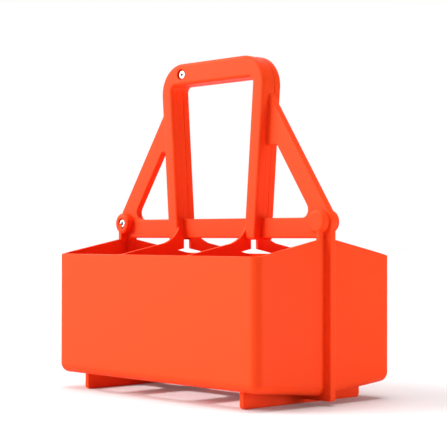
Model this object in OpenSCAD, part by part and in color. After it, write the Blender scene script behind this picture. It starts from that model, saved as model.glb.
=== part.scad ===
/* [Basket] */
// Outer length over the two end walls
basket_length = 312; // [296:1:330]
// Outer depth over the two long walls
basket_depth = 192; // [184:1:206]
// Height of the long walls, from the underside of the floor to the rim
basket_h = 128; // [100:1:150]
// Thickness of the walls and the dividers
wall = 3; // [2:0.5:4]
// Thickness of the floor
floor_t = 3; // [2:0.5:5]
// Radius of the upright outer corners
corner_r = 18; // [13:1:26]
// Radius of the edge between the walls and the floor
bottom_r = 10; // [6:1:12]
// Radius inside the corners of the cells
cell_r = 8; // [5:0.5:12]
// Radius where a cell's walls meet its floor
cell_bottom_r = 5; // [3:0.5:8]
// Rise of the end walls and dividers from the rim to the middle
gable_rise = 17.2; // [8:0.2:26]
// Flat part of the rim before the rise starts
rim_land = 5; // [4:0.5:12]
// Distance from the middle to the centre of a divider
divider_x = 52.3; // [48:0.1:56]
// Gap between the facing ends of a front and a rear divider
divider_gap = 10.8; // [10:0.2:16]

/* [Floor openings] */
// Distance from a divider's face to its openings
opening_margin = 15.3; // [8:0.1:20]
// Distance from a foot's inner face to the opening beside it
foot_margin = 7; // [4:0.5:12]
// Depth of an opening, across the basket
opening_depth = 60; // [40:1:64]
// Distance from the middle plane to the near edge of an opening
opening_start = 14; // [10:1:18]
// Corner radius of an opening
opening_r = 12; // [6:1:20]

/* [Feet] */
// Height of the feet
foot_h = 18; // [12:0.5:24]
// Thickness of a foot
foot_t = 6.6; // [5.4:0.2:9]
// Distance from the middle to the centre of a foot
foot_x = 121.3; // [112:0.1:130]
// Distance from the middle plane to the outer end of a foot
foot_reach = 81; // [60:1:84]
// Radius of the upright edges of a foot
foot_edge_r = 2.4; // [1.2:0.2:2.6]

/* [Handle] */
// Height of the grip's top above the middle of the gabled walls
handle_rise = 188; // [160:1:210]
// Height of the grip
grip_h = 23; // [18:0.5:26]
// Width of an upright
upright_w = 15.9; // [13:0.1:20]
// Outward lean of the uprights in degrees
lean = 4.4; // [2:0.1:6]
// Outer corner radius
handle_corner_r = 31.4; // [24:0.1:36]
// Inner corner radius
handle_window_r = 6; // [4:0.5:12]
// Thickness of the handle on each basket half
handle_t = 8.2; // [7:0.1:10]
// Drop of an upright's foot below the middle of the gabled walls
upright_drop = 1.6; // [0.6:0.1:3]
// Radius of the gusset between a divider and its upright
gusset_r = 16; // [8:1:20]

/* [Centre frame] */
// Thickness of the frame
frame_t = 8; // [6:0.5:9]
// Height of the cross bar
bar_h = 20.6; // [16:0.2:26]
// Height of the sill
sill_h = 20; // [18:0.5:24]
// Gap between the ground and the sill
sill_gap = 6; // [3:0.5:8]
// Overhang of the end ribs beyond the end walls
rib_overhang = 7.8; // [5:0.2:9]
// Width of an end rib
rib_w = 15.3; // [13:0.1:18]
// Slope of the braces in degrees
brace_angle = 55.7; // [52:0.1:60]
// Width of a brace
brace_w = 22.2; // [16:0.2:26]
// Border of the frame's disc around a boss
disc_border = 4; // [3:0.1:5]
// Radius of the sharper inner corners
inner_r = 3; // [2:0.5:5]
// Radius where a brace meets the cross bar
brace_foot_r = 8; // [3:0.5:12]
// Radius of the lower window's corners
lower_window_r = 8; // [3:0.5:14]
// Radius of the lower outer corners
frame_corner_r = 10; // [6:0.5:14]

/* [Bosses and screws] */
// Radius of a boss
boss_r = 11.6; // [10:0.1:12]
// Length of a boss
boss_t = 8; // [7:0.1:10]
// Distance from an end wall's outer face to the centre of its boss
boss_inset = 5.4; // [3:0.1:8]
// Height of a boss's centre above the middle of the gabled walls
boss_rise = 16.3; // [15:0.1:20]
// Thickness of the post below a boss
post_t = 5.7; // [4:0.1:8]
// Depth of the post below a boss
post_depth = 6.6; // [5:0.1:7]
// Distance from the middle to a handle screw
handle_screw_x = 47.8; // [30:0.1:52]
// Diameter of a screw head
head_d = 9; // [8:0.1:10]
// Height of a screw head
head_h = 3; // [2.2:0.1:3.4]
// Diameter of a recess for a screw head
recess_d = 11.4; // [10.4:0.1:13]
// Depth of a recess for a screw head
recess_depth = 4; // [3.4:0.1:5]
// Diameter of a screw's shank
shank_d = 4; // [3:0.1:5]
// Width of the hexagonal socket across its flats
socket_w = 3; // [2:0.1:3.6]
// Depth of the socket
socket_depth = 1.8; // [1:0.1:2]
// Length of a screw's end in the far half
engagement = 4; // [3:0.1:5]

/* [Hidden] */
$fn = 96;

moulding = "orangered";
steel = "silver";
over = 1;
hole_play = 0.4;
pilot_play = 0.1;
pilot_spare = 1;
head_edge_r = 0.8;
post_taper = 6;

mating_y = frame_t / 2;
front_y = basket_depth / 2;
rim_z = foot_h + basket_h;
floor_z = foot_h + floor_t;
crest_z = rim_z + gable_rise;
upright_foot_z = crest_z - upright_drop;
bar_top_z = crest_z + bar_h;
handle_top_z = crest_z + handle_rise;
window_top_z = handle_top_z - grip_h;
sill_top_z = sill_gap + sill_h;
handle_face_y = mating_y + handle_t;
boss_face_y = mating_y + boss_t;
boss_x = basket_length / 2 - boss_inset;
boss_z = crest_z + boss_rise;
disc_r = boss_r + disc_border;
rib_outer_x = basket_length / 2 + rib_overhang;
rib_inner_x = rib_outer_x - rib_w;
handle_screw_z = handle_top_z - grip_h / 2;
end_cell_x = (divider_x + basket_length / 2 - wall / 2) / 2;
end_cell_length = basket_length / 2 - divider_x - 1.5 * wall;
middle_cell_length = 2 * divider_x - wall;
cell_xs = [-end_cell_x, 0, end_cell_x];
cell_lengths = [end_cell_length, middle_cell_length, end_cell_length];
middle_opening_x = divider_x - wall / 2 - opening_margin;
end_opening_from = divider_x + wall / 2 + opening_margin;
end_opening_to = foot_x - foot_t / 2 - foot_margin;
brace_normal = [sin(brace_angle), cos(brace_angle)];
brace_outer = brace_normal * [boss_x, boss_z] + disc_r;

// Half widths of the handle over its window and over its outer sides at a height
function window_half(z) = divider_x - wall / 2 + (z - upright_foot_z) * tan(lean);
function handle_half(z) = window_half(z) + upright_w;
// Height of the gabled walls at a distance from the middle plane
function gable_z(y) = crest_z - gable_rise * (y - mating_y) / (front_y - rim_land - mating_y);
// Height at which a line along a brace meets the outer side of the upright
function upright_meets_z(offset) =
    (offset - brace_normal.x * handle_half(0)) / (brace_normal.y + brace_normal.x * tan(lean));
// Distance from the middle at which a line along a brace is at a height
function brace_x(offset, z) = (offset - brace_normal.y * z) / brace_normal.x;

function unit(v) = v / norm(v);
function half_angle(a, p, b) = acos(unit(a - p) * unit(b - p)) / 2;
function arc_centre(a, p, b, r) = p + unit(unit(a - p) + unit(b - p)) * r / sin(half_angle(a, p, b));
function arc_ends(a, p, b, r) =
    [p + unit(a - p) * r / tan(half_angle(a, p, b)), p + unit(b - p) * r / tan(half_angle(a, p, b))];
function before(list, i) = list[(i + len(list) - 1) % len(list)];
function after(list, i) = list[(i + 1) % len(list)];
function mirrored(points) = [for (i = [len(points) - 1:-1:0]) [-points[i].x, points[i].y]];

// Convex outline with a radius for each of its corners
module rounded(points, radii) {
    corners = [for (i = [0:len(points) - 1]) if (radii[i] > 0) i];
    polygon([for (i = [0:len(points) - 1]) each
        radii[i] > 0 ? arc_ends(before(points, i), points[i], after(points, i), radii[i]) : [points[i]]]);
    for (i = corners)
        translate(arc_centre(before(points, i), points[i], after(points, i), radii[i])) circle(radii[i]);
}

module rounded_rectangle(length, depth, r) {
    rounded([[length, -depth] / 2, [length, depth] / 2, [-length, depth] / 2, [-length, -depth] / 2],
        [r, r, r, r]);
}

// Plate upright across the basket, between two distances along Y
module slab(y_from, y_to) {
    translate([0, y_to, 0]) rotate([90, 0, 0]) linear_extrude(y_to - y_from) children();
}

// Profile in Y and Z, carried along X about a centre
module along_x(x, length) {
    translate([x - length / 2, 0, 0]) rotate([90, 0, 90]) linear_extrude(length) children();
}

// Block with rounded upright corners and a rounded lower edge
module tray(length, depth, height, r, edge_r) {
    translate([0, 0, edge_r]) linear_extrude(height - edge_r) rounded_rectangle(length, depth, r);
    for (x = [-1, 1], y = [-1, 1])
        translate([x * (length / 2 - r), y * (depth / 2 - r), 0]) rotate_extrude() tray_edge(r, edge_r);
    for (a = [0, 180]) rotate(a) {
        tray_side(length, depth, r, edge_r);
        rotate(90) tray_side(depth, length, r, edge_r);
    }
    linear_extrude(edge_r) square([length - 2 * r, depth - 2 * r], center = true);
}

module tray_edge(r, edge_r) {
    square([r - edge_r, edge_r]);
    intersection() {
        translate([r - edge_r, edge_r]) circle(edge_r);
        square([r, edge_r]);
    }
}

module tray_side(length, depth, r, edge_r) {
    translate([length / 2 - r, depth / 2 - r, 0]) rotate([90, 0, -90])
        linear_extrude(length - 2 * r) mirror([1, 0]) tray_edge(r, edge_r);
}

module basket_shell() {
    difference() {
        intersection() {
            translate([0, 0, foot_h])
                tray(basket_length, basket_depth, basket_h + gable_rise, corner_r, bottom_r);
            along_x(0, basket_length + over) gable_profile();
        }
        for (i = [0:len(cell_xs) - 1])
            translate([cell_xs[i], 0, floor_z])
                tray(cell_lengths[i], basket_depth - 2 * wall, basket_h + gable_rise, cell_r, cell_bottom_r);
        floor_opening(-end_opening_to, -end_opening_from);
        floor_opening(-middle_opening_x, middle_opening_x);
        floor_opening(end_opening_from, end_opening_to);
        for (x = [-divider_x, divider_x]) divider_end_gap(x);
    }
}

// Opening through the floor, between two distances along X
module floor_opening(x_from, x_to) {
    translate([(x_from + x_to) / 2, -opening_start - opening_depth / 2, foot_h - over])
        linear_extrude(floor_t + 2 * over)
            rounded_rectangle(x_to - x_from, opening_depth, opening_r);
}

module gable_profile() {
    polygon([[-front_y - over, foot_h - over], [-mating_y, foot_h - over], [-mating_y, crest_z],
        [rim_land - front_y, rim_z], [-front_y - over, rim_z]]);
}

module divider_end_gap(x) {
    translate([x - wall, -divider_gap / 2, floor_z])
        cube([2 * wall, divider_gap / 2, upright_foot_z - floor_z]);
}

module foot(x) {
    translate([x, 0, 0]) linear_extrude(floor_z) difference() {
        translate([0, -foot_reach / 2]) rounded_rectangle(foot_t, foot_reach, foot_edge_r);
        translate([-foot_t, -mating_y]) square([2 * foot_t, mating_y + over]);
    }
}

module handle_outline() {
    sides = [[handle_half(upright_foot_z), upright_foot_z], [handle_half(handle_top_z), handle_top_z]];
    rounded(concat(sides, mirrored(sides)), [0, handle_corner_r, handle_corner_r, 0]);
}

// Window of the handle, from a height up to the grip
module handle_window(z_from, lower_r) {
    sides = [[window_half(z_from), z_from], [window_half(window_top_z), window_top_z]];
    rounded(concat(sides, mirrored(sides)), [lower_r, handle_window_r, handle_window_r, lower_r]);
}

module handle_layer() {
    slab(-handle_face_y, -mating_y) difference() {
        handle_outline();
        handle_window(upright_foot_z - over, 0);
    }
}

// Concave fillet in the divider's plane, up to the face of its upright
module gusset(x) {
    corner = [-handle_face_y, gable_z(handle_face_y)];
    along_gable = [-front_y, gable_z(front_y)];
    up_face = corner + [0, handle_top_z];
    ends = arc_ends(along_gable, corner, up_face, gusset_r);
    along_x(x, wall) difference() {
        polygon([ends[0], ends[0] - [0, over], corner + [over, -over], ends[1] + [over, 0], ends[1]]);
        translate(arc_centre(along_gable, corner, up_face, gusset_r)) circle(gusset_r);
    }
}

// Post from an end wall up to its boss, tapered into the wall at its foot
module post(x) {
    side = sign(x);
    outer_x = basket_length / 2;
    inner_x = outer_x - post_t;
    taper_z = crest_z - post_taper;
    slab(-mating_y - post_depth, -mating_y) polygon([[side * outer_x, taper_z - post_t],
        [side * outer_x, boss_z], [side * inner_x, boss_z], [side * inner_x, taper_z]]);
}

module boss(x) {
    translate([x, -mating_y, boss_z]) rotate([90, 0, 0]) cylinder(boss_t, r = boss_r);
}

// Recess and clearance hole for a screw, entered from the front face
module screw_hole(x, z, face_y) {
    translate([x, -face_y - over, z]) rotate([-90, 0, 0]) {
        cylinder(recess_depth + over, d = recess_d);
        cylinder(face_y + over, d = shank_d + hole_play);
    }
}

// Blind hole in the mating face for the end of a screw from the other half
module pilot_hole(x, z) {
    translate([x, over - mating_y, z]) rotate([90, 0, 0])
        cylinder(engagement + pilot_spare + over, d = shank_d + pilot_play);
}

module basket_half() {
    difference() {
        union() {
            basket_shell();
            handle_layer();
            for (x = [-foot_x, foot_x]) foot(x);
            for (x = [-divider_x, divider_x]) gusset(x);
            for (x = [-boss_x, boss_x]) {
                post(x);
                boss(x);
            }
        }
        screw_hole(-boss_x, boss_z, boss_face_y);
        screw_hole(-handle_screw_x, handle_screw_z, handle_face_y);
        pilot_hole(boss_x, boss_z);
        pilot_hole(handle_screw_x, handle_screw_z);
    }
}

module front_basket() {
    color(moulding) basket_half();
}

module rear_basket() {
    color(moulding) rotate(180) basket_half();
}

// Solid outline of one brace with its disc, filled in to the upright and the cross bar
module brace_outline() {
    joint_z = upright_meets_z(brace_outer);
    translate([boss_x, boss_z]) circle(disc_r);
    polygon([[0, crest_z], [boss_x, crest_z], [boss_x, boss_z], [boss_x, boss_z] + disc_r * brace_normal,
        [handle_half(joint_z), joint_z], [0, joint_z]]);
}

module brace_window() {
    inner = brace_outer - brace_w;
    top_z = upright_meets_z(inner);
    rounded([[handle_half(bar_top_z), bar_top_z], [brace_x(inner, bar_top_z), bar_top_z],
        [handle_half(top_z), top_z]], [inner_r, brace_foot_r, inner_r]);
}

module lower_frame() {
    half = rib_outer_x;
    rounded([[half, sill_gap], [half, boss_z], [-half, boss_z], [-half, sill_gap]],
        [frame_corner_r, 0, 0, frame_corner_r]);
}

module lower_window() {
    translate([0, (sill_top_z + crest_z) / 2])
        rounded_rectangle(2 * rib_inner_x, crest_z - sill_top_z, lower_window_r);
}

module centre_frame() {
    color(moulding) difference() {
        slab(-mating_y, mating_y) difference() {
            union() {
                handle_outline();
                lower_frame();
                brace_outline();
                mirror([1, 0]) brace_outline();
            }
            handle_window(bar_top_z, inner_r);
            lower_window();
            brace_window();
            mirror([1, 0]) brace_window();
        }
        for (x = [-1, 1]) {
            frame_hole(x * boss_x, boss_z);
            frame_hole(x * handle_screw_x, handle_screw_z);
        }
    }
}

module frame_hole(x, z) {
    translate([x, frame_t, z]) rotate([90, 0, 0]) cylinder(2 * frame_t, d = shank_d + hole_play);
}

// Screw with its head's seat on z = 0, its shank upward and a socket in its head
module screw(seat_t) {
    rotate_extrude() {
        square([shank_d / 2, seat_t + frame_t + engagement]);
        translate([0, -head_h]) difference() {
            square([head_d / 2, head_h]);
            translate([head_d / 2 - head_edge_r, 0]) difference() {
                square(head_edge_r);
                translate([0, head_edge_r]) circle(head_edge_r);
            }
        }
    }
}

module socketed_screw(seat_t) {
    color(steel) difference() {
        screw(seat_t);
        translate([0, 0, -head_h - over]) cylinder(socket_depth + over, d = socket_w / cos(30), $fn = 6);
    }
}

// Screw in the front half at a place given by its distance along X and its height
module seated_screw(x, z, face_y) {
    translate([x, recess_depth - face_y, z]) rotate([-90, 0, 0])
        socketed_screw(face_y - mating_y - recess_depth);
}

module end_screw() {
    seated_screw(-boss_x, boss_z, boss_face_y);
}

module handle_screw() {
    seated_screw(-handle_screw_x, handle_screw_z, handle_face_y);
}

front_basket();
rear_basket();
centre_frame();
end_screw();  // front_end_screw
rotate(180) end_screw();  // rear_end_screw
handle_screw();  // front_handle_screw
rotate(180) handle_screw();  // rear_handle_screw
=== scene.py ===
import math

import bmesh
import bpy
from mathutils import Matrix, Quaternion, Vector
from mathutils.geometry import tessellate_polygon


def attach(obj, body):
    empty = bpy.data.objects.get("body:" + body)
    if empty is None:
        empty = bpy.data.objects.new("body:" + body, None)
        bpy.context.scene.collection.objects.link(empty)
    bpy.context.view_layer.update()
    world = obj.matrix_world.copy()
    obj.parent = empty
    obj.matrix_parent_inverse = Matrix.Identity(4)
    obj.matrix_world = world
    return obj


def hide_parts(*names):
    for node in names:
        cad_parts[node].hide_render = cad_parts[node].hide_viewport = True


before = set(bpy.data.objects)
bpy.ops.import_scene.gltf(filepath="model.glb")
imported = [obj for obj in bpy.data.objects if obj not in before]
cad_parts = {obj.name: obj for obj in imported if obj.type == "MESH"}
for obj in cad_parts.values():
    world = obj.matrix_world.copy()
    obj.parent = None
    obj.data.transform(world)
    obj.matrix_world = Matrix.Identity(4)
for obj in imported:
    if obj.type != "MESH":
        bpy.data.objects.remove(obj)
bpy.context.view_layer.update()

MM = 0.001

# Camera, which stands off the front right corner a little below half height
VIEW_AZIMUTH = math.radians(47.15)
VIEW_PITCH = math.radians(0.6)
VIEW_ROLL = math.radians(0.11)
VIEW_DISTANCE = 1451.7 * MM
VIEW_HEIGHT = 178.7 * MM
VIEW_SHIFT_RIGHT = 4.57 * MM
LENS = 110.39
SENSOR = 36.0

# Moulded plastic, whose marks are sized in repeats per metre
PLASTIC_COLOUR = (1.0, 0.066, 0.012)
PLASTIC_DARKER = 0.97
PLASTIC_ROUGHNESS = 0.45
PLASTIC_IOR = 1.5
PLASTIC_SHINE = 0.055
PLASTIC_BUMP = 0.10
FLOW_MARKS = 9.0
FLOW_ROUGHNESS = 0.05
SPARK_GRAIN = 2600.0
SPARK_ROUGHNESS = 0.04
GRAIN_DEPTH = 0.05 * MM
RIPPLES = 38.0
RIPPLE_DEPTH = 0.3 * MM
SCUFFS = 160.0
SCUFF_ROUGHNESS = 0.05
SCUFF_STOPS = ((0.62, 0.0), (0.74, 1.0))

# Plated steel, with painted shade in the socket and at the rim of the head, set by the distance from the
# screw's axis
STEEL_COLOUR = (0.55, 0.57, 0.58)
STEEL_STAINED = 0.86
STEEL_IN_SHADE = 0.07
STEEL_ROUGHNESS = 0.22
STEEL_BUMP = 0.15
STEEL_GRAIN = 1400.0
STEEL_GRAIN_ROUGHNESS = 0.12
STEEL_STAINS = 260.0
STEEL_STAIN_ROUGHNESS = 0.06
SCREW_HEAD_R = 5.0 * MM
SCREW_PAINTED_SHADE_STOPS = ((0.13, 0.0), (0.19, 1.0), (0.60, 1.0), (0.74, 0.2))

# Middle of what a noise gives
NOISE_MIDDLE = 0.5

# Floor and lamps, in metres: a lamp's direction, strength and spread in degrees
WHITE = (1.0, 1.0, 1.0)
FLOOR_COLOUR = 0.64
FLOOR_GLOW = 0.08
FLOOR_REACH = 12.0
WORLD_LEVEL = 0.10
SUNS = {
    "key": ((0.68, 0.64, -0.46), 4.8, 50),
    "top": ((0.0, 0.0, -1.0), 2.8, 40),
    "back": ((0.50, -0.80, -0.35), 0.8, 60),
}
SIDE_LAMP_PLACE = (0.62, 0.20, 0.05)
SIDE_LAMP_AIM = (0.156, 0.0, 0.08)
SIDE_LAMP_WIDTH = 0.22
SIDE_LAMP_POWER = 1.6

# Baskets, in millimetres as all that follows
BASKET_LENGTH = 312.0
BASKET_DEPTH = 192.0
BASKET_HEIGHT = 128.0
WALL = 3.0
FLOOR_FALL = math.radians(5.5)
BASKET_R = 10.0
GABLE_RISE = 17.2
RIM_LAND = 5.0
RIM_R = 0.7

# Dividers and their windows
DIVIDER_X = 52.3
DIVIDER_GAP = 9.8
STRIP_HEIGHT = 11.0
WINDOW_SILL = 40.0
WINDOW_MARGIN = 16.0
WINDOW_R = 8.0

# Openings in the floor
OPENING_MARGIN = 15.3
OPENING_DEPTH = 60.0
OPENING_START = 14.0
OPENING_R = 12.0
OPENING_CUT_TOP = 30.0

# Feet
FOOT_HEIGHT = 18.0
FOOT_THICKNESS = 6.6
FOOT_X = 121.3
FOOT_REACH = 82.6
FOOT_MARGIN = 7.0
FOOT_TOE_R = 4.0
FOOT_EDGE_R = 1.6
FOOT_MIDDLE_GAP = 0.1

# Handle
HANDLE_RISE = 188.0
GRIP_HEIGHT = 23.0
UPRIGHT_WIDTH = 16.5
UPRIGHT_DROP = 1.6
LEAN = math.radians(4.4)
HANDLE_CORNER_R = 31.4
HANDLE_WINDOW_R = 6.0
HANDLE_THICKNESS = 9.2
HANDLE_EDGE_R = 3.0
SEAM_R = 0.5
SEAM_DEPTH = 0.3

# Gussets between the dividers and the uprights
GUSSET_REACH = 20.0
GUSSET_RISE = 13.5
GUSSET_HOLLOW = 0.7
GUSSET_SINK = 1.2
GUSSET_STEPS = 10

# Centre frame
FRAME_THICKNESS = 8.0
FRAME_EDGE_R = 1.6
FRAME_CORNER_R = 3.0
BAR_HEIGHT = 20.6
SILL_HEIGHT = 14.0
SILL_GAP = 4.6
RIB_OVERHANG = 7.8
RIB_WIDTH = 15.3
LOWER_WINDOW_R = 4.0
BRACE_ANGLE = math.radians(55.7)
BRACE_WIDTH = 21.2
BRACE_TIP = 6.0
BRACE_FOOT_R = 8.0
BRACE_WEB = 19.5
BRACE_WEB_R = 2.0
DISC_BORDER = 3.0
INNER_R = 3.0

# Bosses, their posts and the screws
BOSS_R = 11.6
BOSS_LENGTH = 8.0
BOSS_EDGE_R = 3.0
BOSS_INSET = 5.4
BOSS_RISE = 16.3
POST_THICKNESS = 4.6
POST_DEPTH = 7.6
POST_TAPER = 20.0
HANDLE_SCREW_X = 47.8
RECESS_R = 5.7
RECESS_DEPTH = 4.0
RECESS_EDGE_R = 0.8

# How far a cutter passes what it cuts, how deep hidden faces lie, and how finely curves are cut
OVER = 1.0
HIDDEN = 0.05
ARC_STEP = math.radians(7.5)
BASIN_STEPS = 10
EDGE_STEPS = 4
SMALL_EDGE_R = 1.0
SMALL_EDGE_STEPS = 2
MITRE_LIMIT = 0.3
RIM_TOLERANCE = 0.01
RIM_CORNER = math.radians(40)
CRISP_CORNER = math.radians(33)
LARGE_FACE_WEIGHT = 100
WELD = 0.001

END_X = BASKET_LENGTH / 2
FRONT_Y = BASKET_DEPTH / 2
MATING_Y = FRAME_THICKNESS / 2
RIM_Z = FOOT_HEIGHT + BASKET_HEIGHT
CREST_Z = RIM_Z + GABLE_RISE
UPRIGHT_FOOT_Z = CREST_Z - UPRIGHT_DROP
BAR_TOP_Z = CREST_Z + BAR_HEIGHT
HANDLE_TOP_Z = CREST_Z + HANDLE_RISE
HANDLE_FACE_Y = MATING_Y + HANDLE_THICKNESS
BOSS_FACE_Y = MATING_Y + BOSS_LENGTH
BOSS_X = END_X - BOSS_INSET
BOSS_Z = CREST_Z + BOSS_RISE
DISC_R = BOSS_R + DISC_BORDER
RIB_OUTER_X = END_X + RIB_OVERHANG
RIB_INNER_X = RIB_OUTER_X - RIB_WIDTH
SILL_TOP_Z = SILL_GAP + SILL_HEIGHT
HANDLE_SCREW_Z = HANDLE_TOP_Z - GRIP_HEIGHT / 2
BRACE_NORMAL = Vector((math.sin(BRACE_ANGLE), math.cos(BRACE_ANGLE)))
BRACE_OUTER = BRACE_NORMAL.dot(Vector((BOSS_X, BOSS_Z))) + DISC_R
BRACE_INNER = BRACE_OUTER - BRACE_WIDTH
SCREW_AXES = ((BOSS_X, BOSS_Z), (HANDLE_SCREW_X, HANDLE_SCREW_Z))

# A Mix node's sockets for colours, which share their names with its sockets for numbers
MIX_FACTOR, MIX_FIRST, MIX_SECOND, MIX_RESULT = 0, 6, 7, 2

# Where an outline's two directions and a plate's thickness lie in space
ALONG = {
    "x": lambda u, v, level: (level, u, v),
    "y": lambda u, v, level: (u, level, v),
    "z": lambda u, v, level: (u, v, level),
}


class Sock:
    """A node's output socket that takes part in sums as a number does."""

    def __init__(self, tree, socket):
        self.tree = tree
        self.socket = socket

    def _math(self, operation, *values):
        return self.tree.node("ShaderNodeMath", {"operation": operation}, dict(enumerate(values)))

    def __add__(self, other):
        return self._math("ADD", self, other)

    __radd__ = __add__

    def __sub__(self, other):
        return self._math("SUBTRACT", self, other)

    def __rsub__(self, other):
        return self._math("SUBTRACT", other, self)

    def __mul__(self, other):
        return self._math("MULTIPLY", self, other)

    __rmul__ = __mul__

    def __abs__(self):
        return self._math("ABSOLUTE", self)

    def least(self, other):
        return self._math("MINIMUM", self, other)

    def clamped(self):
        return self.tree.node("ShaderNodeClamp", {}, {"Value": self})

    def beside(self, name):
        """Another output of the same node."""
        return Sock(self.tree, self.socket.node.outputs[name])


class Tree:
    """A material's or the world's nodes, made one at a time."""

    def __init__(self, owner):
        owner.use_nodes = True
        self.nodes = owner.node_tree.nodes
        self.links = owner.node_tree.links
        self.nodes.clear()

    def node(self, kind, settings, values, output=0):
        made = self.nodes.new(kind)
        for name, value in settings.items():
            if name == "stops":
                self._set_stops(made.color_ramp, value)
            else:
                setattr(made, name, value)
        for name, value in values.items():
            if isinstance(value, Sock):
                self.links.new(value.socket, made.inputs[name])
            else:
                made.inputs[name].default_value = value
        return Sock(self, made.outputs[output]) if made.outputs else None

    @staticmethod
    def _set_stops(ramp, stops):
        while len(ramp.elements) > len(stops):
            ramp.elements.remove(ramp.elements[-1])
        while len(ramp.elements) < len(stops):
            ramp.elements.new(1.0)
        for element, (place, level) in zip(ramp.elements, stops):
            element.position = place
            element.color = (level, level, level, 1.0)

    def place(self):
        """Where a point lies on its own object, in metres."""
        return self.node("ShaderNodeTexCoord", {}, {}, output="Object")

    def noise(self, where, scale, detail=2.0, roughness=0.5):
        return self.node("ShaderNodeTexNoise", {}, {
            "Vector": where, "Scale": scale, "Detail": detail, "Roughness": roughness})

    def ramp(self, factor, stops):
        return self.node("ShaderNodeValToRGB", {"stops": stops}, {"Fac": factor})

    def mix(self, factor, first, second):
        """Colour between two others."""
        values = {MIX_FACTOR: factor, MIX_FIRST: first, MIX_SECOND: second}
        return self.node("ShaderNodeMix", {"data_type": "RGBA"}, values, output=MIX_RESULT)

    def bump(self, height, strength, distance, **under):
        """Bent surface normal. Normal=, where it is given, is the one that it starts from."""
        values = {"Height": height, "Strength": strength, "Distance": distance}
        return self.node("ShaderNodeBump", {}, {**values, **under})

    def finish(self, shader, kind="ShaderNodeOutputMaterial"):
        self.node(kind, {}, {"Surface": shader})


def rgba(colour):
    return (*colour, 1.0)


def scaled(colour, factor):
    return tuple(channel * factor for channel in colour)


def window_half(z):
    """Half the width of the handle's window at a height."""
    return DIVIDER_X - WALL / 2 + (z - UPRIGHT_FOOT_Z) * math.tan(LEAN)


def handle_half(z):
    """Half the width of the handle at a height, below its rounded corners."""
    return window_half(z) + UPRIGHT_WIDTH


def gable_z(y):
    """Height of an end wall's top edge at a distance from the middle plane."""
    return CREST_Z - GABLE_RISE * (y - MATING_Y) / (FRONT_Y - RIM_LAND - MATING_Y)


def underside_z(y):
    """Height of the underside at a distance from the middle plane."""
    return FOOT_HEIGHT - (FRONT_Y - y) * math.tan(FLOOR_FALL)


def upright_meets_z(offset):
    """Height at which a brace's edge meets the outside of the upright."""
    offset_per_height = BRACE_NORMAL.y + BRACE_NORMAL.x * math.tan(LEAN)
    return (offset - BRACE_NORMAL.x * handle_half(0.0)) / offset_per_height


def brace_x(offset, z):
    """Where a brace's edge is at a height."""
    return (offset - BRACE_NORMAL.y * z) / BRACE_NORMAL.x


def arc(centre, radius, start, end):
    """Points from one angle to another, both included."""
    count = max(2, math.ceil(abs(end - start) / ARC_STEP))
    angles = [start + (end - start) * i / count for i in range(count + 1)]
    return [(centre[0] + radius * math.cos(a), centre[1] + radius * math.sin(a)) for a in angles]


def circle(centre, radius):
    return arc(centre, radius, 0.0, math.tau)[:-1]


def rounded(points, radii):
    """Outline whose corners are rounded, each with its own radius."""
    made = []
    for i, (point, radius) in enumerate(zip(points, radii)):
        here = Vector(point)
        if radius == 0:
            made.append(tuple(here))
            continue
        to_before = (Vector(points[i - 1]) - here).normalized()
        to_after = (Vector(points[(i + 1) % len(points)]) - here).normalized()
        half_angle = math.acos(to_before.dot(to_after)) / 2
        centre = here + (to_before + to_after).normalized() * radius / math.sin(half_angle)
        first = here + to_before * radius / math.tan(half_angle) - centre
        last = here + to_after * radius / math.tan(half_angle) - centre
        start = math.atan2(first.y, first.x)
        turn = (math.atan2(last.y, last.x) - start + math.pi) % math.tau - math.pi
        made += arc(centre, radius, start, start + turn)
    return made


def rounded_rectangle(left, low, right, high, radius):
    return rounded([(left, low), (right, low), (right, high), (left, high)], [radius] * 4)


def mirrored(points):
    return [(-x, z) for x, z in reversed(points)]


def signed_area(loop):
    return sum(a[0] * b[1] - b[0] * a[1] for a, b in zip(loop, loop[1:] + loop[:1])) / 2


def inset(loop, distance):
    """The loop moved to the left of its direction, its corners mitred."""
    made = []
    for i, point in enumerate(loop):
        here = Vector(point)
        into = (here - Vector(loop[i - 1])).normalized()
        out = (Vector(loop[(i + 1) % len(loop)]) - here).normalized()
        left_of_out = Vector((-out.y, out.x))
        across = (Vector((-into.y, into.x)) + left_of_out).normalized()
        made.append(tuple(here + across * distance / max(MITRE_LIMIT, across.dot(left_of_out))))
    return made


class Shape:
    """Corners in millimetres and faces of a closed surface."""

    def __init__(self, corners, faces):
        self.corners = [Vector(corner) for corner in corners]
        self.faces = faces

    def __add__(self, other):
        start = len(self.corners)
        return Shape(self.corners + other.corners,
                     self.faces + [[start + i for i in face] for face in other.faces])

    def half_turned(self):
        return Shape([(-c.x, -c.y, c.z) for c in self.corners], self.faces)

    def placed(self, name):
        mesh = bpy.data.meshes.new(name)
        mesh.from_pydata([c * MM for c in self.corners], [], self.faces)
        made = bpy.data.objects.new(name, mesh)
        bpy.context.scene.collection.objects.link(made)
        welded = bmesh.new()
        welded.from_mesh(mesh)
        bmesh.ops.remove_doubles(welded, verts=welded.verts, dist=WELD * MM)
        bmesh.ops.recalc_face_normals(welded, faces=welded.faces)
        welded.to_mesh(mesh)
        welded.free()
        return made


def together(shapes):
    """One shape of several, which keep their own surfaces."""
    whole = Shape([], [])
    for shape in shapes:
        whole = whole + shape
    return whole


def skin(first, rings, count):
    """Faces between rings of corners, which follow each other from the first corner on."""
    faces = []
    for ring in range(rings - 1):
        for k in range(count):
            here = first + ring * count + k
            after = first + ring * count + (k + 1) % count
            faces.append([here, after, after + count, here + count])
    return faces


def lid(corners, loops):
    """Faces that fill an outline and leave its holes open."""
    if len(loops) == 1:
        return loops
    flat = [i for loop in loops for i in loop]
    triangles = tessellate_polygon([[Vector(corners[i]) for i in loop] for loop in loops])
    return [[flat[i] for i in triangle] for triangle in triangles]


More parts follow.
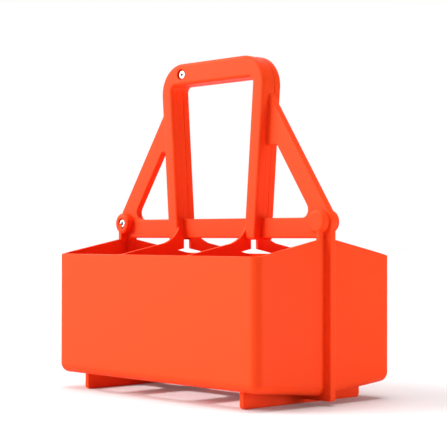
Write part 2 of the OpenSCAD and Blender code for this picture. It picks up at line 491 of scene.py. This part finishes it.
def edge_rings(level, inward, radius):
    """Rings that round an edge, each by its distance into the face and its level, from the face on."""
    steps = SMALL_EDGE_STEPS if radius < SMALL_EDGE_R else EDGE_STEPS
    if radius == 0:
        return [(0.0, level)]
    angles = [math.pi / 2 * k / steps for k in range(steps + 1)]
    return [(radius * (1 - math.sin(a)), level + inward * radius * (1 - math.cos(a))) for a in angles]


def plate(axis, loops, start, end, start_r=(0.0,), end_r=(0.0,)):
    """Plate between two levels along an axis. The first loop is its outline and the others are holes.
    The edges of its two faces are rounded, with a radius for the outline and one for the holes."""
    corners, faces, start_loops, end_loops = [], [], [], []
    for i, points in enumerate(loops):
        turns_left = signed_area(points) > 0
        loop = list(points) if turns_left == (i == 0) else list(reversed(points))
        rings = edge_rings(start, 1, start_r[min(i, len(start_r) - 1)])
        rings += reversed(edge_rings(end, -1, end_r[min(i, len(end_r) - 1)]))
        first, count = len(corners), len(loop)
        for distance, level in rings:
            for u, v in (inset(loop, distance) if distance else loop):
                corners.append(ALONG[axis](u, v, level))
        faces += skin(first, len(rings), count)
        start_loops.append(list(range(first, first + count)))
        end_loops.append(list(range(len(corners) - count, len(corners))))
    return Shape(corners, faces + lid(corners, start_loops) + lid(corners, end_loops))


def basin(left, right, front, lift, radius, top):
    """Block at a distance above the falling underside, with rounded front corners and lower edges."""
    bend_y = radius - front
    centre_z = underside_z(-bend_y) + (lift + radius) / math.cos(FLOOR_FALL)

    def outline(distance):
        left_corner = arc((left + radius, bend_y), radius - distance, math.pi, 1.5 * math.pi)
        right_corner = arc((right - radius, bend_y), radius - distance, 1.5 * math.pi, math.tau)
        return [(right - distance, OVER), (left + distance, OVER)] + left_corner + right_corner

    corners = []
    for k in range(BASIN_STEPS + 1):
        angle = k * math.pi / 2 / BASIN_STEPS
        for x, y in outline(radius * (1 - math.sin(angle))):
            fall = max(0.0, y - bend_y) * math.tan(FLOOR_FALL)
            corners.append((x, y, centre_z - fall - radius * math.cos(angle)))
    rim = [(x, y, top) for x, y in outline(0.0)]
    corners += rim
    count = len(rim)
    bottom = list(range(count))
    lid_loop = list(range(len(corners) - count, len(corners)))
    return Shape(corners, skin(0, BASIN_STEPS + 2, count) + [bottom, lid_loop])


def combined(base, steps):
    """Mesh of a base after boolean steps, each an operation and the shape that it takes."""
    made = base.placed("base")
    tools = []
    for operation, shape in steps:
        tool = shape.placed("tool")
        tools.append(tool)
        cut = made.modifiers.new("cut", "BOOLEAN")
        cut.operation = operation
        cut.solver = "EXACT"
        cut.object = tool
    bpy.context.view_layer.update()
    ready = made.evaluated_get(bpy.context.evaluated_depsgraph_get())
    mesh = bpy.data.meshes.new_from_object(ready)
    for used in tools + [made]:
        bpy.data.objects.remove(used, do_unlink=True)
    return mesh


def on_rim(corner):
    """Whether a point in metres is on the rim, clear of where the halves meet."""
    height = max(RIM_Z, gable_z(abs(corner.y) / MM))
    return abs(corner.z / MM - height) < RIM_TOLERANCE and corner.y < -(MATING_Y + OVER) * MM


def soften_rim(mesh):
    """Rounds the edges along the tops of the walls and the dividers."""
    made = bmesh.new()
    made.from_mesh(mesh)
    rim = [edge for edge in made.edges if all(on_rim(end.co) for end in edge.verts)
           and len(edge.link_faces) == 2 and edge.calc_face_angle() > RIM_CORNER]
    bmesh.ops.bevel(made, geom=rim, offset=RIM_R * MM, segments=SMALL_EDGE_STEPS, profile=0.5,
                    affect="EDGES", clamp_overlap=True)
    made.to_mesh(mesh)
    made.free()


def gable_block():
    """Room that the basket fills: up to the rim at the front, and up to the gables' tops at the middle."""
    profile = [(-FRONT_Y - OVER, 0.0), (-MATING_Y, 0.0), (-MATING_Y, CREST_Z),
               (RIM_LAND - FRONT_Y, RIM_Z), (-FRONT_Y - OVER, RIM_Z)]
    return plate("x", [profile], -END_X - OVER, END_X + OVER)


def cells():
    """The three bottle cells, as cutters."""
    near = DIVIDER_X + WALL / 2
    far = END_X - WALL
    spans = ((-far, -near), (WALL - near, near - WALL), (near, far))
    return together(basin(left, right, FRONT_Y - WALL, WALL, BASKET_R - WALL / 2, CREST_Z + OVER)
                    for left, right in spans)


def floor_openings():
    """One rounded opening under each cell, as cutters."""
    inner = DIVIDER_X - WALL / 2 - OPENING_MARGIN
    start = DIVIDER_X + WALL / 2 + OPENING_MARGIN
    end = FOOT_X - FOOT_THICKNESS / 2 - FOOT_MARGIN
    far_y = -OPENING_START - OPENING_DEPTH
    outlines = [rounded_rectangle(left, far_y, right, -OPENING_START, OPENING_R)
                for left, right in ((-end, -start), (-inner, inner), (start, end))]
    return together(plate("z", [outline], 0.0, OPENING_CUT_TOP) for outline in outlines)


def divider_windows():
    """Window below the top strip of each divider, as cutters."""
    outer_y = FRONT_Y - WINDOW_MARGIN
    sill_z = FOOT_HEIGHT + WINDOW_SILL
    outline = rounded([(-outer_y, sill_z), (OVER, sill_z), (OVER, gable_z(-OVER) - STRIP_HEIGHT),
                       (-outer_y, gable_z(outer_y) - STRIP_HEIGHT)], [WINDOW_R, 0, 0, WINDOW_R])
    return together(plate("x", [outline], x - WALL, x + WALL) for x in (-DIVIDER_X, DIVIDER_X))


def divider_gaps():
    """Half the slot between facing dividers, above the floor and below the uprights, as cutters."""
    low_z = underside_z(0.0) + WALL
    profile = [(-DIVIDER_GAP / 2, low_z), (0.0, low_z),
               (0.0, UPRIGHT_FOOT_Z), (-DIVIDER_GAP / 2, UPRIGHT_FOOT_Z)]
    return together(plate("x", [profile], x - WALL, x + WALL) for x in (-DIVIDER_X, DIVIDER_X))


def basket_shell():
    """End walls, front wall, dividers and floor of the front half."""
    mesh = combined(basin(-END_X, END_X, FRONT_Y, 0.0, BASKET_R, CREST_Z + OVER), [
        ("INTERSECT", gable_block()),
        ("DIFFERENCE", cells()),
        ("DIFFERENCE", floor_openings() + divider_windows()),
        ("DIFFERENCE", divider_gaps()),
    ])
    soften_rim(mesh)
    return Shape([corner.co / MM for corner in mesh.vertices],
                 [list(face.vertices) for face in mesh.polygons])


def handle_outline(foot_z):
    """Outside of the handle, from a height up to the grip and down again."""
    sides = [(handle_half(foot_z), foot_z), (handle_half(HANDLE_TOP_Z), HANDLE_TOP_Z)]
    return rounded(sides + mirrored(sides), [0, HANDLE_CORNER_R, HANDLE_CORNER_R, 0])


def handle_window(foot_z, lower_r):
    """Inside of the handle, above a height."""
    top_z = HANDLE_TOP_Z - GRIP_HEIGHT
    sides = [(window_half(foot_z), foot_z), (window_half(top_z), top_z)]
    return rounded(sides + mirrored(sides), [lower_r, HANDLE_WINDOW_R, HANDLE_WINDOW_R, lower_r])


def screw_seat(centre, face_y):
    """Bottom of a screw's recess, which closes the hole in the piece around it."""
    return plate("y", [circle(centre, RECESS_R + OVER)], RECESS_DEPTH - face_y, -MATING_Y - OVER / 2)


def handle_layer():
    """Layer of the handle on one half: an arch, with the recess of its screw."""
    arch = handle_outline(UPRIGHT_FOOT_Z) + list(reversed(handle_window(UPRIGHT_FOOT_Z, 0)))
    screw = (-HANDLE_SCREW_X, HANDLE_SCREW_Z)
    layer = plate("y", [arch, circle(screw, RECESS_R)], -HANDLE_FACE_Y, -MATING_Y,
                  (HANDLE_EDGE_R, RECESS_EDGE_R), (SEAM_R, 0.0))
    return layer + screw_seat(screw, HANDLE_FACE_Y)


def gusset(x):
    """Web in the divider's plane between its top edge and its upright, with a shallow hollow edge."""
    corner = Vector((-HANDLE_FACE_Y, gable_z(HANDLE_FACE_Y)))
    along = (Vector((-FRONT_Y, gable_z(FRONT_Y))) - corner).normalized()
    low = corner + along * GUSSET_REACH
    high = corner + Vector((GUSSET_SINK, GUSSET_RISE))
    middle = (low + high) / 2
    pull = middle + (corner - middle) * GUSSET_HOLLOW
    curve = []
    for i in range(GUSSET_STEPS + 1):
        t = i / GUSSET_STEPS
        curve.append(tuple(low * (1 - t) ** 2 + pull * 2 * t * (1 - t) + high * t ** 2))
    inside_y = corner.x + HANDLE_EDGE_R
    outline = curve + [(inside_y, high.y), (inside_y, corner.y - OVER), (low.x, low.y - OVER)]
    half_wall = WALL / 2 - HIDDEN
    return plate("x", [outline], x - half_wall, x + half_wall, (SEAM_R,), (SEAM_R,))


def post(side):
    """Upright strip on an end wall that carries the boss and tapers out below it."""
    outer = side * (END_X - HIDDEN)
    inner = side * (END_X - HIDDEN - POST_THICKNESS)
    outline = [(outer, CREST_Z - POST_TAPER), (outer, BOSS_Z), (inner, BOSS_Z), (inner, CREST_Z)]
    return plate("y", [outline], -MATING_Y - POST_DEPTH, -MATING_Y, (SEAM_R,), (SEAM_R,))


def boss(side):
    """Round boss at one end. The left one has the recess of a screw."""
    centre = (side * BOSS_X, BOSS_Z)
    if side > 0:
        return plate("y", [circle(centre, BOSS_R)], -BOSS_FACE_Y, -MATING_Y, (BOSS_EDGE_R,), (SEAM_R,))
    ring = plate("y", [circle(centre, BOSS_R), circle(centre, RECESS_R)], -BOSS_FACE_Y, -MATING_Y,
                 (BOSS_EDGE_R, RECESS_EDGE_R), (SEAM_R, 0.0))
    return ring + screw_seat(centre, BOSS_FACE_Y)


def foot(x):
    """Plate foot under the falling floor, with a rounded toe."""
    into_floor = WALL / 2
    middle_y = -FOOT_MIDDLE_GAP
    outline = rounded([(-FOOT_REACH, 0.0), (middle_y, 0.0), (middle_y, underside_z(0.0) + into_floor),
                       (-FOOT_REACH, underside_z(FOOT_REACH) + into_floor)], [FOOT_TOE_R, 0, 0, 0])
    half_foot = FOOT_THICKNESS / 2
    return plate("x", [outline], x - half_foot, x + half_foot, (FOOT_EDGE_R,), (FOOT_EDGE_R,))


def basket_half():
    """Front half of the basket with everything that is moulded on it."""
    made = basket_shell() + handle_layer()
    for side in (-1, 1):
        made = made + gusset(side * DIVIDER_X) + post(side) + boss(side) + foot(side * FOOT_X)
    return made


def brace_window():
    """Window between the bar, the brace and the upright, blunt where these two meet."""
    top_z = upright_meets_z(BRACE_INNER) - BRACE_WEB
    return rounded([(handle_half(BAR_TOP_Z), BAR_TOP_Z), (brace_x(BRACE_INNER, BAR_TOP_Z), BAR_TOP_Z),
                    (brace_x(BRACE_INNER, top_z), top_z), (handle_half(top_z), top_z)],
                   [INNER_R, BRACE_FOOT_R, BRACE_WEB_R, BRACE_WEB_R])


def frame_side():
    """Right side of the frame's outline: the sill's corner, the end rib, the disc and the brace."""
    sill_corner = rounded([(0.0, SILL_GAP), (RIB_OUTER_X, SILL_GAP), (RIB_OUTER_X, BOSS_Z)],
                          [0, FRAME_CORNER_R, 0])
    rib_meets_disc = -math.acos((RIB_OUTER_X - BOSS_X) / DISC_R)
    disc = arc((BOSS_X, BOSS_Z), DISC_R, rib_meets_disc, math.pi / 2 - BRACE_ANGLE)
    tip_z = upright_meets_z(BRACE_OUTER) + BRACE_TIP
    inside_upright = handle_half(BAR_TOP_Z) - UPRIGHT_WIDTH / 2
    return sill_corner[1:-1] + disc + [(brace_x(BRACE_OUTER, tip_z), tip_z), (inside_upright, BAR_TOP_Z)]


def centre_frame():
    """Middle layer of the handle, and the plate with the bar, braces, discs, ribs and sill."""
    outside = inset(handle_outline(CREST_Z + 2 * FRAME_EDGE_R), SEAM_DEPTH)
    inside = inset(list(reversed(handle_window(BAR_TOP_Z, INNER_R))), SEAM_DEPTH)
    middle_layer = plate("y", [outside, inside], HIDDEN - MATING_Y, MATING_Y - HIDDEN, (SEAM_R,), (SEAM_R,))
    lower_window = rounded_rectangle(-RIB_INNER_X, SILL_TOP_Z, RIB_INNER_X, CREST_Z, LOWER_WINDOW_R)
    loops = [frame_side() + mirrored(frame_side()), lower_window, brace_window(), mirrored(brace_window())]
    return middle_layer + plate("y", loops, -MATING_Y, MATING_Y, (FRAME_EDGE_R,), (FRAME_EDGE_R,))


def shaded(made):
    """Smooth surfaces that stay flat where they are flat, and crisp at edges."""
    mesh = made.data
    mesh.polygons.foreach_set("use_smooth", [True] * len(mesh.polygons))
    mesh.set_sharp_from_angle(angle=CRISP_CORNER)
    weighted = made.modifiers.new("normals", "WEIGHTED_NORMAL")
    weighted.keep_sharp = True
    weighted.weight = LARGE_FACE_WEIGHT


def moulding(name, shape, node, material):
    """Piece made of one shape, which stands for a node of the carrier."""
    made = shape.placed(name)
    made.data.materials.append(material)
    shaded(made)
    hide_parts(node)
    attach(made, "root")


def moulded_plastic(name):
    """Injection-moulded plastic: satin, with a fine spark texture, faint flow marks and a few scuffs."""
    material = bpy.data.materials.new(name)
    tree = Tree(material)
    where = tree.place()
    flow = tree.noise(where, FLOW_MARKS, detail=3.0)
    grain = tree.noise(where, SPARK_GRAIN, detail=2.0, roughness=0.6)
    ripple = tree.noise(where, RIPPLES, detail=1.0)
    scuffs = tree.ramp(tree.noise(where, SCUFFS, detail=6.0, roughness=0.75), SCUFF_STOPS)
    colour = tree.mix(flow, rgba(scaled(PLASTIC_COLOUR, PLASTIC_DARKER)), rgba(PLASTIC_COLOUR))
    marks = FLOW_ROUGHNESS * (flow - NOISE_MIDDLE)
    spark = SPARK_ROUGHNESS * (grain - NOISE_MIDDLE)
    roughness = PLASTIC_ROUGHNESS + marks + spark + SCUFF_ROUGHNESS * scuffs
    fine = tree.bump(grain, PLASTIC_BUMP, GRAIN_DEPTH)
    surface = tree.bump(ripple, PLASTIC_BUMP, RIPPLE_DEPTH, Normal=fine)
    shader = tree.node("ShaderNodeBsdfPrincipled", {}, {
        "Base Color": colour, "Roughness": roughness, "Normal": surface,
        "IOR": PLASTIC_IOR, "Specular IOR Level": PLASTIC_SHINE})
    tree.finish(shader)
    return material


def screw_steel(name):
    """Plated steel with a fine grain and faint stains, and painted shade in the socket and at the rim of
    the head.
    """
    material = bpy.data.materials.new(name)
    tree = Tree(material)
    where = tree.place()
    grain = tree.noise(where, STEEL_GRAIN, detail=3.0, roughness=0.6)
    stain = tree.noise(where, STEEL_STAINS, detail=2.0)
    across = tree.node("ShaderNodeSeparateXYZ", {}, {"Vector": where}, output="X")
    up = across.beside("Z")
    squares = []
    # The screws stand equally far to the left and to the right of the middle
    for x, z in SCREW_AXES:
        sideways = abs(across) - x * MM
        upward = up - z * MM
        squares.append(sideways * sideways + upward * upward)
    # Painted shade: the steel is darkened in the socket and at the rim of the head, by distance from the
    # screw's axis
    lit = tree.ramp(squares[0].least(squares[1]) * (1.0 / SCREW_HEAD_R ** 2), SCREW_PAINTED_SHADE_STOPS)
    bright = tree.mix(stain, rgba(scaled(STEEL_COLOUR, STEEL_STAINED)), rgba(STEEL_COLOUR))
    colour = tree.mix(lit, rgba(scaled(STEEL_COLOUR, STEEL_IN_SHADE)), bright)
    roughness = STEEL_ROUGHNESS + STEEL_GRAIN_ROUGHNESS * grain + STEEL_STAIN_ROUGHNESS * stain
    shader = tree.node("ShaderNodeBsdfPrincipled", {}, {
        "Base Color": colour, "Metallic": 1.0, "Roughness": roughness,
        "Normal": tree.bump(grain, STEEL_BUMP, GRAIN_DEPTH)})
    tree.finish(shader)
    return material


def dress(node, material):
    """Gives a node that keeps its own shape a better material."""
    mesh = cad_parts[node].data
    mesh.materials.clear()
    mesh.materials.append(material)


def pale_floor():
    """Wide floor that is white to the camera and keeps the carrier's shadow."""
    mesh = bpy.data.meshes.new("floor")
    corners = [(x * FLOOR_REACH, y * FLOOR_REACH, 0.0) for x, y in ((-1, -1), (1, -1), (1, 1), (-1, 1))]
    mesh.from_pydata(corners, [], [(0, 1, 2, 3)])
    floor = bpy.data.objects.new("floor", mesh)
    bpy.context.scene.collection.objects.link(floor)
    material = bpy.data.materials.new("floor_paper")
    tree = Tree(material)
    seen = tree.node("ShaderNodeLightPath", {}, {}, output="Is Camera Ray")
    diffuse = tree.node("ShaderNodeBsdfDiffuse", {}, {"Color": rgba(scaled(WHITE, FLOOR_COLOUR))})
    glow = tree.node("ShaderNodeEmission", {}, {"Color": rgba(WHITE), "Strength": FLOOR_GLOW * seen})
    tree.finish(tree.node("ShaderNodeAddShader", {}, {0: diffuse, 1: glow}))
    mesh.materials.append(material)


def white_surroundings():
    """World that lights evenly and is white to the camera, in reflections and through clear pieces."""
    world = bpy.data.worlds.new("studio")
    bpy.context.scene.world = world
    tree = Tree(world)
    seen = tree.node("ShaderNodeLightPath", {}, {}, output="Is Camera Ray")
    direct = (seen + seen.beside("Is Glossy Ray") + seen.beside("Is Transmission Ray")).clamped()
    level = WORLD_LEVEL + direct * (1.0 - WORLD_LEVEL)
    shader = tree.node("ShaderNodeBackground", {}, {"Color": rgba(WHITE), "Strength": level})
    tree.finish(shader, "ShaderNodeOutputWorld")


def soft_sun(name, towards, strength, spread):
    """Distant lamp that shines along a direction, with soft shadows."""
    lamp = bpy.data.lights.new(name, "SUN")
    lamp.energy = strength
    lamp.angle = math.radians(spread)
    placed = bpy.data.objects.new(name, lamp)
    placed.rotation_euler = Vector(towards).to_track_quat("-Z", "Y").to_euler()
    bpy.context.scene.collection.objects.link(placed)


def softbox(name, where, aim, width, power):
    """Square lamp at a place, which faces another."""
    lamp = bpy.data.lights.new(name, "AREA")
    lamp.energy = power
    lamp.size = width
    placed = bpy.data.objects.new(name, lamp)
    placed.location = where
    placed.rotation_euler = (Vector(aim) - Vector(where)).to_track_quat("-Z", "Y").to_euler()
    bpy.context.scene.collection.objects.link(placed)


def photo_camera():
    """Camera at the photograph's angle, aimed at the middle of the carrier."""
    right = Vector((math.cos(VIEW_AZIMUTH), math.sin(VIEW_AZIMUTH), 0.0))
    forward = Vector((-math.sin(VIEW_AZIMUTH) * math.cos(VIEW_PITCH),
                      math.cos(VIEW_AZIMUTH) * math.cos(VIEW_PITCH), math.sin(VIEW_PITCH)))
    target = Vector((0.0, 0.0, VIEW_HEIGHT)) + VIEW_SHIFT_RIGHT * right
    data = bpy.data.cameras.new("view")
    data.lens = LENS
    data.sensor_width = SENSOR
    camera = bpy.data.objects.new("view", data)
    camera.location = target - VIEW_DISTANCE * forward
    turn = forward.to_track_quat("-Z", "Y")
    camera.rotation_euler = (turn @ Quaternion((0.0, 0.0, 1.0), VIEW_ROLL)).to_euler()
    bpy.context.scene.collection.objects.link(camera)
    bpy.context.scene.camera = camera


basket_plastic = moulded_plastic("basket_plastic")
frame_plastic = moulded_plastic("frame_plastic")
steel = screw_steel("screw_steel")
front_half = basket_half()
moulding("front_half", front_half, "front_basket", basket_plastic)
moulding("rear_half", front_half.half_turned(), "rear_basket", basket_plastic)
moulding("middle_frame", centre_frame(), "centre_frame", frame_plastic)
for node in ("front_end_screw", "rear_end_screw", "front_handle_screw", "rear_handle_screw"):
    dress(node, steel)

pale_floor()
white_surroundings()
for name, (towards, strength, spread) in SUNS.items():
    soft_sun(name, towards, strength, spread)
softbox("side", SIDE_LAMP_PLACE, SIDE_LAMP_AIM, SIDE_LAMP_WIDTH, SIDE_LAMP_POWER)
photo_camera()
bpy.context.scene.view_settings.view_transform = "Standard"
